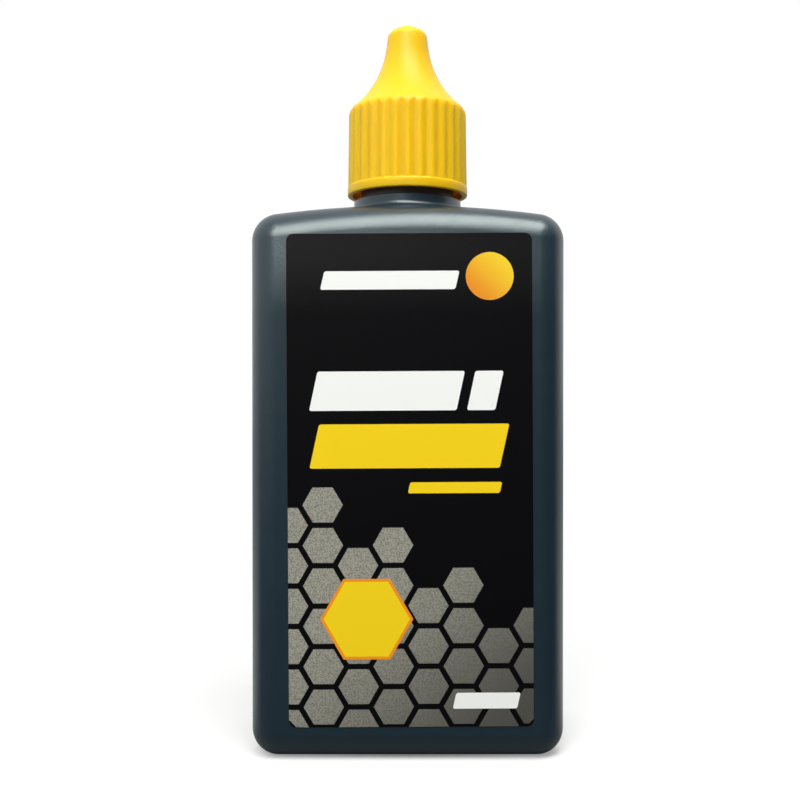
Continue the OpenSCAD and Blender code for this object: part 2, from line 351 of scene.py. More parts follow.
@dataclass
class Nodes:
    """The node tree of one material or world, with short ways to add to it."""

    tree: bpy.types.NodeTree

    def add(self, kind: str, inputs: Inputs | None = None, **settings: object) -> bpy.types.Node:
        """Adds a node.

        Args:
            kind: The node's type without its ShaderNode prefix.
            inputs: Value, or socket to link from, for each input.
            settings: The node's own settings.

        Returns:
            The new node.
        """
        node = self.tree.nodes.new("ShaderNode" + kind)
        for key, value in settings.items():
            setattr(node, key, value)
        for key, value in (inputs or {}).items():
            if isinstance(value, bpy.types.NodeSocket):
                self.tree.links.new(value, node.inputs[key])
            else:
                node.inputs[key].default_value = value
        return node

    def math(self, operation: str, *values: object) -> bpy.types.NodeSocket:
        """Adds a Math node and returns its result."""
        return self.add("Math", dict(enumerate(values)), operation=operation).outputs[0]

    def place(self) -> bpy.types.NodeSocket:
        """The point on the piece in the object's own frame, in metres."""
        return self.add("TexCoord").outputs["Object"]

    def noise(
        self, per_mm: float, detail: float, stretch: Sequence[float] = (1, 1, 1)
    ) -> bpy.types.NodeSocket:
        """Noise over the piece.

        Args:
            per_mm: How many spots there are in a millimetre.
            detail: Octaves of finer spots.
            stretch: How much denser it is along each axis.

        Returns:
            The noise, from 0 to 1.
        """
        mapped = self.add("Mapping", {"Vector": self.place(), "Scale": stretch})
        inputs = {"Vector": mapped.outputs[0], "Scale": per_mm / MM, "Detail": detail}
        return self.add("TexNoise", inputs).outputs[0]

    def ramp(self, value: bpy.types.NodeSocket, low: float, high: float) -> bpy.types.NodeSocket:
        """A soft step of value, 0 at low and 1 at high."""
        inputs = {"Value": value, "From Min": low, "From Max": high}
        return self.add("MapRange", inputs, interpolation_type="SMOOTHSTEP").outputs[0]

    def blend(self, share: object, first: object, second: object) -> bpy.types.NodeSocket:
        """Mixes two colours; share 0 gives the first."""
        first, second = ((*c, 1) if isinstance(c, tuple) else c for c in (first, second))
        return self.add("Mix", {0: share, 6: first, 7: second}, data_type="RGBA").outputs[2]

    def stray(self, middle: float, reach: float, noise: bpy.types.NodeSocket) -> bpy.types.NodeSocket:
        """A value that strays over reach about middle, with the noise."""
        return self.math("MULTIPLY_ADD", noise, reach, middle - reach / 2)

    def slump(self) -> bpy.types.NodeSocket:
        """How far the blown faces stand out, from 1 low down to 0 where they draw in to the shoulder."""
        height = self.add("SeparateXYZ", {0: self.place()}).outputs[2]
        return self.ramp(height, SLUMP_HIGH * MM, SLUMP_LOW * MM)

    def bump(self, *waves: tuple[bpy.types.NodeSocket, float]) -> bpy.types.NodeSocket:
        """Adds height waves to the surface.

        Args:
            waves: Each wave's height, from 0 to 1, and how high 1 is in millimetres.

        Returns:
            The bumped normal.
        """
        normal = None
        for height, tall in waves:
            inputs = {"Height": height, "Distance": tall * MM, "Strength": 1.0}
            if normal is not None:
                inputs["Normal"] = normal
            normal = self.add("Bump", inputs).outputs[0]
        return normal


@dataclass(frozen=True)
class Finish:
    """What every finish has: a plain colour and how it takes the light."""

    name: str
    colour: Colour
    roughness: float = 0.4
    specular: float = 0.5

    def surface(self, nodes: Nodes, shader: bpy.types.Node) -> None:
        """Adds what is special to a finish. A plain one has nothing to add."""

    def material(self) -> bpy.types.Material:
        """Makes the finish.

        Returns:
            The material, made once and then found by its name.
        """
        made = bpy.data.materials.get(self.name)
        if made is not None:
            return made
        made = bpy.data.materials.new(self.name)
        made.use_nodes = True
        made.diffuse_color = (*self.colour, 1)
        nodes = Nodes(made.node_tree)
        shader = made.node_tree.nodes["Principled BSDF"]
        shader.inputs["Base Color"].default_value = (*self.colour, 1)
        shader.inputs["Roughness"].default_value = self.roughness
        shader.inputs["Specular IOR Level"].default_value = self.specular
        self.surface(nodes, shader)
        return made


@dataclass(frozen=True)
class BlownPlastic(Finish):
    """Dyed polyethylene, blown in a mould: satin, faintly mottled, a little wavy."""

    gleam: Colour = (0.87, 0.98, 0.97)
    mottle: float = 0.12
    patches: float = 0.12
    wave: float = 0.05
    grain: float = 0.018
    slump: float = 1.4

    def surface(self, nodes: Nodes, shader: bpy.types.Node) -> None:
        """Adds the mottle, the slump under the shoulder, the blown wall's slow waves and fine grain."""
        link = nodes.tree.links.new
        cloud = nodes.noise(per_mm=0.06, detail=3)
        pale = tuple(c * (1 + self.mottle) for c in self.colour)
        deep = tuple(c * (1 - self.mottle) for c in self.colour)
        link(nodes.blend(cloud, deep, pale), shader.inputs["Base Color"])
        shader.inputs["Specular Tint"].default_value = (*self.gleam, 1)
        patch = nodes.noise(per_mm=0.35, detail=4)
        link(nodes.stray(self.roughness, self.patches, patch), shader.inputs["Roughness"])
        waves = (
            (nodes.slump(), self.slump),
            (nodes.noise(per_mm=0.045, detail=0), self.wave),
            (nodes.noise(per_mm=2.0, detail=2), self.grain),
        )
        link(nodes.bump(*waves), shader.inputs["Normal"])


@dataclass(frozen=True)
class MouldedPlastic(Finish):
    """Injection-moulded plastic that light enters a little way."""

    depth: float = 1.0
    share: float = 0.3
    bleed: Colour = (1.0, 0.45, 0.05)
    patches: float = 0.1
    grain: float = 0.003

    def surface(self, nodes: Nodes, shader: bpy.types.Node) -> None:
        """Adds the light inside the plastic, and the faint patches and grain of the mould's finish."""
        link = nodes.tree.links.new
        shader.inputs["Subsurface Weight"].default_value = self.share
        shader.inputs["Subsurface Radius"].default_value = self.bleed
        shader.inputs["Subsurface Scale"].default_value = self.depth * MM
        patch = nodes.noise(per_mm=0.4, detail=3)
        link(nodes.stray(self.roughness, self.patches, patch), shader.inputs["Roughness"])
        link(nodes.bump((nodes.noise(per_mm=2.5, detail=2), self.grain)), shader.inputs["Normal"])


@dataclass(frozen=True)
class PrintedFilm(Finish):
    """Plastic film and flat ink, with a fine speckle where the ink is thin."""

    speckle: float = 0.0
    spots: float = 5.0
    dust: Point = (0.42, 0.62)
    dust_tone: float = 0.25
    grain: float = 0.0015
    slump: float = 0.0
    second: Colour | None = None
    fade_from: Point = (0.0, 0.0)
    fade_to: Point = (0.0, 1.0)

    def surface(self, nodes: Nodes, shader: bpy.types.Node) -> None:
        """Adds the fade to a second colour along a line, the speckle, and the film's ripple."""
        link = nodes.tree.links.new
        colour: object = self.colour
        if self.second is not None:
            colour = nodes.blend(self.fade(nodes), self.colour, self.second)
        if self.speckle:
            fine = nodes.noise(self.spots, detail=1)
            share = nodes.math("MULTIPLY", nodes.ramp(fine, *self.dust), self.speckle)
            colour = nodes.blend(share, colour, tuple(c * self.dust_tone for c in self.colour))
        if isinstance(colour, bpy.types.NodeSocket):
            link(colour, shader.inputs["Base Color"])
        waves = [(nodes.noise(per_mm=1.2, detail=2, stretch=(0.4, 1, 1)), self.grain)]
        if self.slump:
            waves.append((nodes.slump(), self.slump))
        link(nodes.bump(*waves), shader.inputs["Normal"])

    def fade(self, nodes: Nodes) -> bpy.types.NodeSocket:
        """How far a point lies from the fade's start to its end, from 0 to 1."""
        axes = nodes.add("SeparateXYZ", {0: nodes.place()}).outputs
        (x0, z0), (x1, z1) = self.fade_from, self.fade_to
        reach = ((x1 - x0) ** 2 + (z1 - z0) ** 2) * MM
        along_x = nodes.math("MULTIPLY", nodes.math("SUBTRACT", axes[0], x0 * MM), (x1 - x0) / reach)
        along_z = nodes.math("MULTIPLY", nodes.math("SUBTRACT", axes[2], z0 * MM), (z1 - z0) / reach)
        return nodes.ramp(nodes.math("ADD", along_x, along_z), 0.0, 1.0)


@dataclass(frozen=True)
class Liquid(Finish):
    """Oil: clear, thick and dark where it is deep."""

    ior: float = 1.47
    clear: float = 0.85
    cloud: float = 0.6

    def surface(self, nodes: Nodes, shader: bpy.types.Node) -> None:
        """Lets light through and clouds it slightly."""
        shader.inputs["Transmission Weight"].default_value = self.clear
        shader.inputs["IOR"].default_value = self.ior
        cloud = nodes.noise(per_mm=0.08, detail=2)
        deep = tuple(c * self.cloud for c in self.colour)
        nodes.tree.links.new(nodes.blend(cloud, deep, self.colour), shader.inputs["Base Color"])


SLATE = BlownPlastic("slate_polyethylene", (0.0075, 0.0205, 0.032), 0.32, specular=0.9)
YELLOW = MouldedPlastic(
    "yellow_cap_plastic", (0.84, 0.50, 0.004), 0.42, specular=0.28,
    depth=2.3, share=0.8, bleed=(1.0, 0.75, 0.06),
)
WAX = MouldedPlastic(
    "waxy_insert_plastic", (0.78, 0.77, 0.70), 0.45, depth=2.0, share=0.5, bleed=(1.0, 0.9, 0.7)
)
BLACK_FILM = PrintedFilm(
    "black_label_film", (0.0024, 0.0024, 0.0032), 0.40, specular=0.11, grain=0.008, slump=1.4
)
WHITE_INK = PrintedFilm("white_ink", (0.84, 0.86, 0.84), 0.5, specular=0.2)
YELLOW_INK = PrintedFilm("yellow_ink", (0.85, 0.60, 0.006), 0.5, specular=0.2)
ORANGE_INK = PrintedFilm("orange_ink", (0.80, 0.27, 0.01), 0.5, specular=0.2)
OIL = Liquid("graphite_oil", (0.16, 0.15, 0.11), 0.05)


def dress(obj: bpy.types.Object, finish: Finish, body: str, slot: str, *stands_for: str) -> None:
    """Gives a piece its finish and its place in the frame.

    Args:
        obj: The piece.
        finish: Its finish.
        body: The body that it rides on.
        slot: The record's material slot; not used.
        stands_for: The CAD nodes that it is shown instead of.
    """
    obj.data.materials.clear()
    obj.data.materials.append(finish.material())
    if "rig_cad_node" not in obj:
        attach(obj, body)
    if stands_for:
        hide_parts(*stands_for)
    log.info("%s: %d faces, %s", obj.name, len(obj.data.polygons), finish.name)


# The bottle


@dataclass
class Bottle:
    """The blown bottle: a flat body with an arched shoulder, a pushed-up base and a screw neck."""

    edge_r: float = 4.5
    wall: float = 1.0
    shoulder_rise: float = 1.39
    neck_h: float = 16.49
    neck_r: float = 8.1
    bore_r: float = 6.3
    ring_r: float = 9.35
    ring_lift: float = 1.09
    ring_top: float = 2.39
    ring_chamfer: float = 0.2
    rim_chamfer: float = 0.4
    flare_r: float = 1.0
    flare_turn: float = 60.0
    flare_run: float = 2.0
    base_ring_w: float = 2.0
    push_up: float = 0.8
    push_slope: float = 1.2
    pinch_w: float = 0.5
    pinch_h: float = 0.3
    pitch: float = 3.175
    thread_turns: float = 1.5
    thread_h: float = 0.85
    thread_foot_w: float = 1.9
    thread_crest_w: float = 0.9
    thread_drop: float = 2.1
    foot_sink: float = 0.3
    round_steps: int = 12
    round_weld: float = 0.03
    arch_steps: int = 24
    flare_steps: int = 8
    thread_steps: int = 36
    turn_steps: int = 144
    crease: float = 32.0
    half_w: float = field(init=False)
    half_d: float = field(init=False)
    neck_top: float = field(init=False)

    def __post_init__(self) -> None:
        """Takes the overall sizes from the frame."""
        _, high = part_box("bottle")
        self.half_w = high.x / MM
        self.half_d = high.y / MM
        self.neck_top = high.z / MM

    @property
    def crown(self) -> float:
        """Height of the shoulder's crown, where the neck stands."""
        return self.neck_top - self.neck_h

    @property
    def core_x(self) -> float:
        """Half width of the core that the rounding wraps."""
        return self.half_w - self.edge_r

    @property
    def core_y(self) -> float:
        """Half depth of that core."""
        return self.half_d - self.edge_r

    def slab(self, name: str, rounding: float) -> bpy.types.Object:
        """Makes the body's form: a box with an arched top, its corners and both rims rounded.

        Args:
            name: Name of the new object.
            rounding: Radius of every edge, which also sets how far the form reaches.

        Returns:
            The closed form.
        """
        end_z = self.crown - self.edge_r - self.shoulder_rise
        arch_r = (self.core_x**2 + self.shoulder_rise**2) / (2 * self.shoulder_rise)
        arch_z = self.crown - self.edge_r - arch_r
        lean = math.asin(self.core_x / arch_r)
        half = self.core_x + rounding
        touch_x = self.core_x + rounding * math.sin(lean)
        touch_z = end_z + rounding * math.cos(lean)
        corner_z = touch_z - (half - touch_x) * math.tan(lean)
        top = end_z + rounding
        low = (-half, -self.core_y, self.edge_r - rounding)
        obj = block(name, low, (half, self.core_y, top))
        spread = [2 * i / self.arch_steps - 1 for i in range(1, self.arch_steps)]
        columns = [touch_x * math.sin(lean * share) / math.sin(lean) for share in spread]
        heights = [arch_z + math.sqrt((arch_r + rounding) ** 2 - x * x) for x in columns]
        slope = math.atan2(heights[-1] - corner_z, half - columns[-1])
        with editing(obj):
            for x in columns:
                pick_faces(lambda co, normal: normal.z > FACING)
                bpy.ops.mesh.bisect(plane_co=(x * MM, 0, 0), plane_no=(1, 0, 0))
            for x, height in zip(columns, heights):
                pick_points(lambda co, x=x: abs(co.x - x) < NEAR and co.z > top - NEAR)
                bpy.ops.transform.translate(value=(0, 0, (height - top) * MM))
            pick_points(lambda co: abs(co.x) > half - NEAR and co.z > top - NEAR)
            bpy.ops.transform.translate(value=(0, 0, (corner_z - top) * MM))
            for is_top, bend in ((True, math.pi / 2 - slope), (False, math.pi / 2)):
                pick_edges(
                    lambda a, b: abs(a.x) > half - NEAR
                    and abs(a.y - b.y) > self.core_y
                    and (a.z > self.crown / 2) == is_top
                )
                reach = rounding * math.tan(bend / 2)
                bpy.ops.mesh.bevel(
                    offset=reach * MM, segments=self.round_steps, profile=0.5, affect="EDGES"
                )
            for side in (-1, 1):
                self.round_rim(side, rounding)
        weld(obj, self.round_weld)
        return obj

    def round_rim(self, side: int, rounding: float) -> None:
        """Rounds the open form's front or back rim by insetting its flat face step by step."""
        pick_faces(lambda co, normal: normal.y * side > FACING)
        quarter = [math.pi / 2 * i / self.round_steps for i in range(self.round_steps + 1)]
        for a, b in zip(quarter, quarter[1:]):
            bpy.ops.mesh.inset(
                thickness=rounding * (math.cos(a) - math.cos(b)) * MM,
                depth=rounding * (math.sin(b) - math.sin(a)) * MM,
                use_even_offset=True,
            )

    def neck_outline(self) -> list[Point]:
        """The neck from its root under the shoulder to its rim."""
        ring_low = self.crown + self.ring_lift
        ring_top = self.crown + self.ring_top
        middle = self.ring_r + self.flare_r
        flare = arc(middle, ring_low, self.flare_r, 180 + self.flare_turn, 180, self.flare_steps)
        drop = self.flare_run / math.tan(math.radians(self.flare_turn))
        root = self.crown - self.edge_r / 2
        return [
            (0, root),
            (self.ring_r, root),
            (flare[0][0] + self.flare_run, flare[0][1] - drop),
            *flare,
            (self.ring_r, ring_top - self.ring_chamfer),
            (self.ring_r - self.ring_chamfer, ring_top),
            (self.neck_r, ring_top),
            (self.neck_r, self.neck_top - self.rim_chamfer),
            (self.neck_r - self.rim_chamfer, self.neck_top),
            (0, self.neck_top),
        ]

    def ridge(self, name: str, down: float, reach: float, turns: float, wall_r: float) -> bpy.types.Object:
        """Winds a thread of the form that the neck and the cap share.

        Args:
            name: Name of the new object.
            down: Turns from the upper end of the neck's thread down to the lower end of this one.
            reach: How far the crest stands out of the wall, less than 0 where it stands inwards.
            turns: Number of turns.
            wall_r: Radius of the wall that it stands on.

        Returns:
            The thread, with its foot sunk in the wall.
        """
        z = self.neck_top - self.thread_drop - self.pitch * down
        sunk, crest = wall_r - math.copysign(self.foot_sink, reach), wall_r + reach
        foot_w, crest_w = self.thread_foot_w / 2, self.thread_crest_w / 2
        section = [(sunk, z - foot_w), (crest, z - crest_w), (crest, z + crest_w), (sunk, z + foot_w)]
        return thread_ridge(name, section, self.pitch, turns, self.thread_steps, wall_r)

    def push_up_base(self, obj: bpy.types.Object) -> None:
        """Pushes up the base inside its ring, and leaves the pinched seam across it."""
        with editing(obj):
            pick_faces(lambda co, normal: normal.z < -FACING and co.z < ROUGHLY)
            bpy.ops.mesh.inset(thickness=self.base_ring_w * MM, depth=0)
            bpy.ops.mesh.inset(thickness=self.push_slope * MM, depth=-self.push_up * MM)
        half = self.core_x - self.base_ring_w - self.push_slope / 2
        low = (-half, -self.pinch_w / 2, self.push_up - self.pinch_h)
        seam = block("base_seam", low, (half, self.pinch_w / 2, self.push_up + self.wall / 2))
        combine(obj, seam, Cut.ADD)

    def build(self) -> None:
        """Builds and dresses the bottle."""
        obj = self.slab("bottle_shell", self.edge_r)
        self.push_up_base(obj)
        combine(obj, revolve("neck", self.neck_outline(), self.turn_steps), Cut.ADD)
        thread = self.ridge("neck_thread", self.thread_turns, self.thread_h, self.thread_turns, self.neck_r)
        combine(obj, thread, Cut.ADD)
        combine(obj, self.hollow(), Cut.TAKE)
        bore_low, bore_high = self.crown - self.edge_r, self.neck_top + self.wall
        bore = [(0, bore_low), (self.bore_r, bore_low), (self.bore_r, bore_high), (0, bore_high)]
        combine(obj, revolve("bore", bore, self.turn_steps), Cut.TAKE)
        smooth(obj, self.crease)
        dress(obj, SLATE, "bottle", "bottle_hdpe", "bottle")

    def hollow(self) -> bpy.types.Object:
        """The space inside, one wall in from the body's form and clear of the pushed-up base."""
        inside = self.slab("hollow", self.edge_r - self.wall)
        half_x = self.core_x - self.base_ring_w + self.wall
        half_y = self.core_y - self.base_ring_w + self.wall
        panel = block("panel", (-half_x, -half_y, -self.wall), (half_x, half_y, self.push_up + self.wall))
        combine(inside, panel, Cut.TAKE)
        return inside


# The dropper insert


@dataclass
class DropperInsert:
    """The waxy insert pressed into the neck: a beaded plug, a flange and a tapered nozzle."""

    bottle: Bottle
    plug_gap: float = 0.05
    bead_h: float = 0.35
    bead_w: float = 1.0
    plug_len: float = 7.0
    plug_wall: float = 1.0
    flange_h: float = 0.9
    flange_inset: float = 0.2
    nozzle_foot_r: float = 4.6
    nozzle_tip_r: float = 1.45
    nozzle_wall: float = 0.9
    orifice_r: float = 0.6
    orifice_len: float = 1.6
    edge_round: float = 0.08
    edge_angle: float = 35.0
    turn_steps: int = 96
    crease: float = 40.0

    @property
    def tip(self) -> float:
        """Height of the nozzle's tip, from the frame."""
        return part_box("dropper_insert")[1].z / MM

    @property
    def flange_top(self) -> float:
        """Height of the flange's upper face."""
        return self.bottle.neck_top + self.flange_h

    @property
    def flange_r(self) -> float:
        """Radius of the flange."""
        return self.bottle.neck_r - self.flange_inset

    def outline(self) -> list[Point]:
        """The section's loop: up the outside to the tip, and down the drops' way."""
        rim = self.bottle.neck_top
        bead = self.bottle.bore_r - self.plug_gap
        plug = bead - self.bead_h
        bore = plug - self.plug_wall
        low = rim - self.plug_len
        throat = self.nozzle_foot_r - self.nozzle_wall
        beads: list[Point] = []
        for z in (low + self.bead_w, rim - 2 * self.bead_w):
            beads += [(plug, z), (bead, z), (bead, z + self.bead_w), (plug, z + self.bead_w)]
        return [
            (bore, low),
            (plug, low),
            *beads,
            (plug, rim),
            (self.flange_r, rim),
            (self.flange_r, self.flange_top),
            (self.nozzle_foot_r, self.flange_top),
            (self.nozzle_tip_r, self.tip),
            (self.orifice_r, self.tip),
            (self.orifice_r, self.tip - self.orifice_len),
            (throat, self.flange_top),
            (bore, rim - self.plug_wall / 2),
        ]

    def build(self) -> None:
        """Builds and dresses the insert."""
        obj = revolve("dropper_nozzle", self.outline(), self.turn_steps, closed=True)
        apply_modifier(
            obj, "BEVEL", width=self.edge_round * MM, segments=2, limit_method="ANGLE",
            angle_limit=math.radians(self.edge_angle), use_clamp_overlap=True,
        )
        smooth(obj, self.crease)
        dress(obj, WAX, "insert", "insert_ldpe", "dropper_insert")


# The cap


@dataclass
class ScrewCap:
    """The closed spire cap: a band, a ribbed skirt, a flare, and a spire with a domed tip."""

    bottle: Bottle
    insert: DropperInsert
    band_h: float = 1.65
    band_round: float = 0.35
    rim_round: float = 0.15
    skirt_r: float = 10.43
    skirt_draft: float = 0.175
    corner_drop: float = 0.25
    corner_r: float = 1.85
    rib_count: int = 30
    ridge_round: float = 0.18
    flute_depth: float = 0.5
    rib_flat: float = 0.04
    rib_soft: float = 0.05
    rib_columns: int = 16
    corner_rows: int = 14
    flare_steps: int = 22
    tip_steps: int = 8
    crown_steps: int = 6
    rim_steps: int = 4
    band_steps: int = 6
    ceiling_steps: int = 14
    pin_steps: int = 24
    steps_per_rib: int = 6
    spire_r: float = 3.47
    spire_slope: float = 7.0
    spire_len: float = 1.6
    tip_round: float = 1.25
    tip_crown_r: float = 4.5
    cap_wall: float = 1.27
    mouth_r: float = 9.55
    mouth_h: float = 1.8
    thread_gap: float = 0.2
    thread_relief: float = 0.05
    thread_turns: float = 1.25
    seat_gap: float = 0.05
    seat_w: float = 0.8
    seat_h: float = 1.2
    pin_gap: float = 0.05
    pin_depth: float = 1.1
    overcut: float = 1.0
    turn_steps: int = 120
    crease: float = 35.0
    rim: float = field(init=False)
    top: float = field(init=False)
    band_r: float = field(init=False)

    def __post_init__(self) -> None:
        """Takes the cap's overall sizes from the frame."""
        low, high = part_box("cap")
        self.rim = low.z / MM
        self.top = high.z / MM
        self.band_r = high.x / MM

    @property
    def band_top(self) -> float:
        """Height of the band's upper edge."""
        return self.rim + self.band_h

    @property
    def ceiling(self) -> float:
        """Height where the threaded bore ends over the insert's flange."""
        return self.insert.flange_top + self.seat_gap

    @property
    def corner(self) -> Point:
        """Middle of the rounding at the skirt's top edge."""
        return self.skirt_r - self.skirt_draft - self.corner_r, self.ceiling - self.corner_drop

    @property
    def bore_r(self) -> float:
        """Radius of the threaded bore."""
        return self.bottle.neck_r + self.bottle.thread_h + self.thread_gap

    def tip_dome(self) -> tuple[Point, float]:
        """Middle of the fillet at the tip, and the angle where it meets the dome."""
        x = self.spire_r - self.tip_round
        rise = math.sqrt((self.tip_crown_r - self.tip_round) ** 2 - x * x)
        return (x, self.top - self.tip_crown_r + rise), math.degrees(math.atan2(rise, x))

    def flare(self) -> tuple[Point, float]:
        """Middle and radius of the one arc tangent to the skirt's corner and to the spire."""
        (tip_x, tip_z), _ = self.tip_dome()
        slope = math.radians(self.spire_slope)
        x = tip_x + self.tip_round * math.cos(slope) + self.spire_len * math.sin(slope)
        z = tip_z + self.tip_round * math.sin(slope) - self.spire_len * math.cos(slope)
        dx, dz = x - self.corner[0], z - self.corner[1]
        along = dx * math.cos(slope) + dz * math.sin(slope)
        r = (dx * dx + dz * dz - self.corner_r**2) / (2 * (self.corner_r - along))
        return (x + r * math.cos(slope), z + r * math.sin(slope)), r

    def outline(self) -> list[Point]:
        """The outside from inside the band to the tip, ending on the axis."""
        (flare_x, flare_z), flare_r = self.flare()
        (tip_x, tip_z), dome = self.tip_dome()
        turn = math.degrees(math.atan2(flare_z - self.corner[1], flare_x - self.corner[0]))
        start = self.band_top - self.band_round
        return [
            (0, start),
            (self.skirt_r, start),
            *arc(*self.corner, self.corner_r, 0, turn, self.corner_rows),
            *arc(flare_x, flare_z, flare_r, 180 + turn, 180 + self.spire_slope, self.flare_steps)[1:],
            *arc(tip_x, tip_z, self.tip_round, self.spire_slope, dome, self.tip_steps),
            *arc(0, self.top - self.tip_crown_r, self.tip_crown_r, dome, 90, self.crown_steps)[1:],
        ]

    def rib_reach(self, angle: float, outer: float) -> float:
        """Radius of a rib's surface.

        Args:
            angle: Angle from the rib's middle, in radians.
            outer: Radius of the outline that trims the rib.

        Returns:
            The lesser of the two radii, with a soft change from one to the other.
        """
        away = angle * self.rib_count / math.pi
        off = math.sqrt(away * away + self.ridge_round**2) - self.ridge_round
        reach = self.skirt_r + self.rib_flat - self.flute_depth * off * (2 - off)
        gap = reach - outer
        return (reach + outer - math.sqrt(gap * gap + self.rib_soft**2)) / 2

    def ribbed_body(self) -> bpy.types.Object:
        """Models one rib with its slice of spire, and copies it round the axis.

        Returns:
            The closed form without its band and hollow.
        """
        points = self.outline()
        slice_angle = math.tau / self.rib_count
        obj = trace("cap_form", points)
        half = self.rib_columns // 2
        with editing(obj):
            bpy.ops.mesh.spin(
                steps=self.rib_columns, angle=slice_angle, center=(0, 0, 0), axis=(0, 0, 1)
            )
            bpy.ops.mesh.select_all(action="SELECT")
            bpy.ops.mesh.remove_doubles(threshold=WELD * MM)
            for r, z in points[1 : 3 + self.corner_rows]:
                for column in range(half + 1):
                    off = slice_angle * abs(column / self.rib_columns - 0.5)
                    pick_points(
                        lambda co, z=z, r=r, off=off: abs(co.z - z) < NEAR
                        and abs(co.xy.length - r) < ROUGHLY
                        and abs(abs(math.atan2(co.y, co.x) - math.copysign(slice_angle / 2, co.y)) - off)
                        < NEAR
                    )
                    scale = self.rib_reach(off, r) / r
                    bpy.ops.transform.resize(value=(scale, scale, 1), center_override=(0, 0, 0))
            bpy.ops.mesh.select_all(action="SELECT")
            bpy.ops.mesh.spin(
                steps=self.rib_count - 1,
                dupli=True,
                angle=slice_angle * (self.rib_count - 1),
                center=(0, 0, 0),
                axis=(0, 0, 1),
            )
        weld(obj)
        return obj

    def band_outline(self) -> list[Point]:
        """The plain band at the rim, with both outer edges rounded."""
        low, high = self.rim_round, self.band_round
        return [
            (0, self.rim),
            *arc(self.band_r - low, self.rim + low, low, -90, 0, self.rim_steps),
            *arc(self.band_r - high, self.band_top - high, high, 0, 90, self.band_steps),
            (0, self.band_top),
        ]

    def hollow_outline(self) -> list[Point]:
        """The inside: mouth, threaded bore, and the space under the flare and the spire."""
        (flare_x, flare_z), flare_r = self.flare()
        r = flare_r + self.cap_wall
        top = self.top - 2 * self.cap_wall
        start, end = (180 + math.degrees(math.asin((flare_z - z) / r)) for z in (self.ceiling, top))
        lip = self.rim + self.mouth_h
        return [
            (0, self.rim - self.overcut),
            (self.mouth_r, self.rim - self.overcut),
            (self.mouth_r, lip),
            (self.bore_r, lip + self.mouth_r - self.bore_r),
            (self.bore_r, self.ceiling),
            *arc(flare_x, flare_z, r, start, end, self.ceiling_steps),
            (0, top),
        ]

    def thread(self) -> bpy.types.Object:
        """The thread inside the cap, half a pitch below the neck's."""
        reach = self.thread_relief - self.bottle.thread_h
        down = self.bottle.thread_turns + 0.5
        return self.bottle.ridge("cap_thread", down, reach, self.thread_turns, self.bore_r)

    def seals(self) -> list[bpy.types.Object]:
        """The ring that seats on the insert's flange, and the pin that closes the dropper."""
        out = self.insert.flange_r
        inner, low, high = out - self.seat_w, self.ceiling, self.ceiling + self.seat_h
        section = [(inner, low), (out, low), (out, high), (inner, high)]
        ring = revolve("seat_ring", section, self.turn_steps, closed=True)
        r = self.insert.orifice_r - self.pin_gap
        foot = self.insert.tip - self.pin_depth
        head = self.top - 1.5 * self.cap_wall
        pin = revolve("pin", [(0, foot), (r, foot), (r, head), (0, head)], self.pin_steps)
        return [ring, pin]

    def build(self) -> None:
        """Builds and dresses the cap."""
        obj = self.ribbed_body()
        band = revolve("band", self.band_outline(), self.rib_count * self.steps_per_rib)
        combine(obj, band, Cut.ADD)
        combine(obj, revolve("hollow", self.hollow_outline(), self.turn_steps), Cut.TAKE)
        for tool in [self.thread(), *self.seals()]:
            combine(obj, tool, Cut.ADD)
        rename(obj, "screw_cap")
        smooth(obj, self.crease)
        dress(obj, YELLOW, "cap", "cap_plastic", "cap")


# The label


class Layer(Enum):
    """How far each layer of the label stands off the bottle's face, in millimetres."""

    FILM = 0.100
    FIELD = 0.108
    EDGE = 0.114
    FACE = 0.120


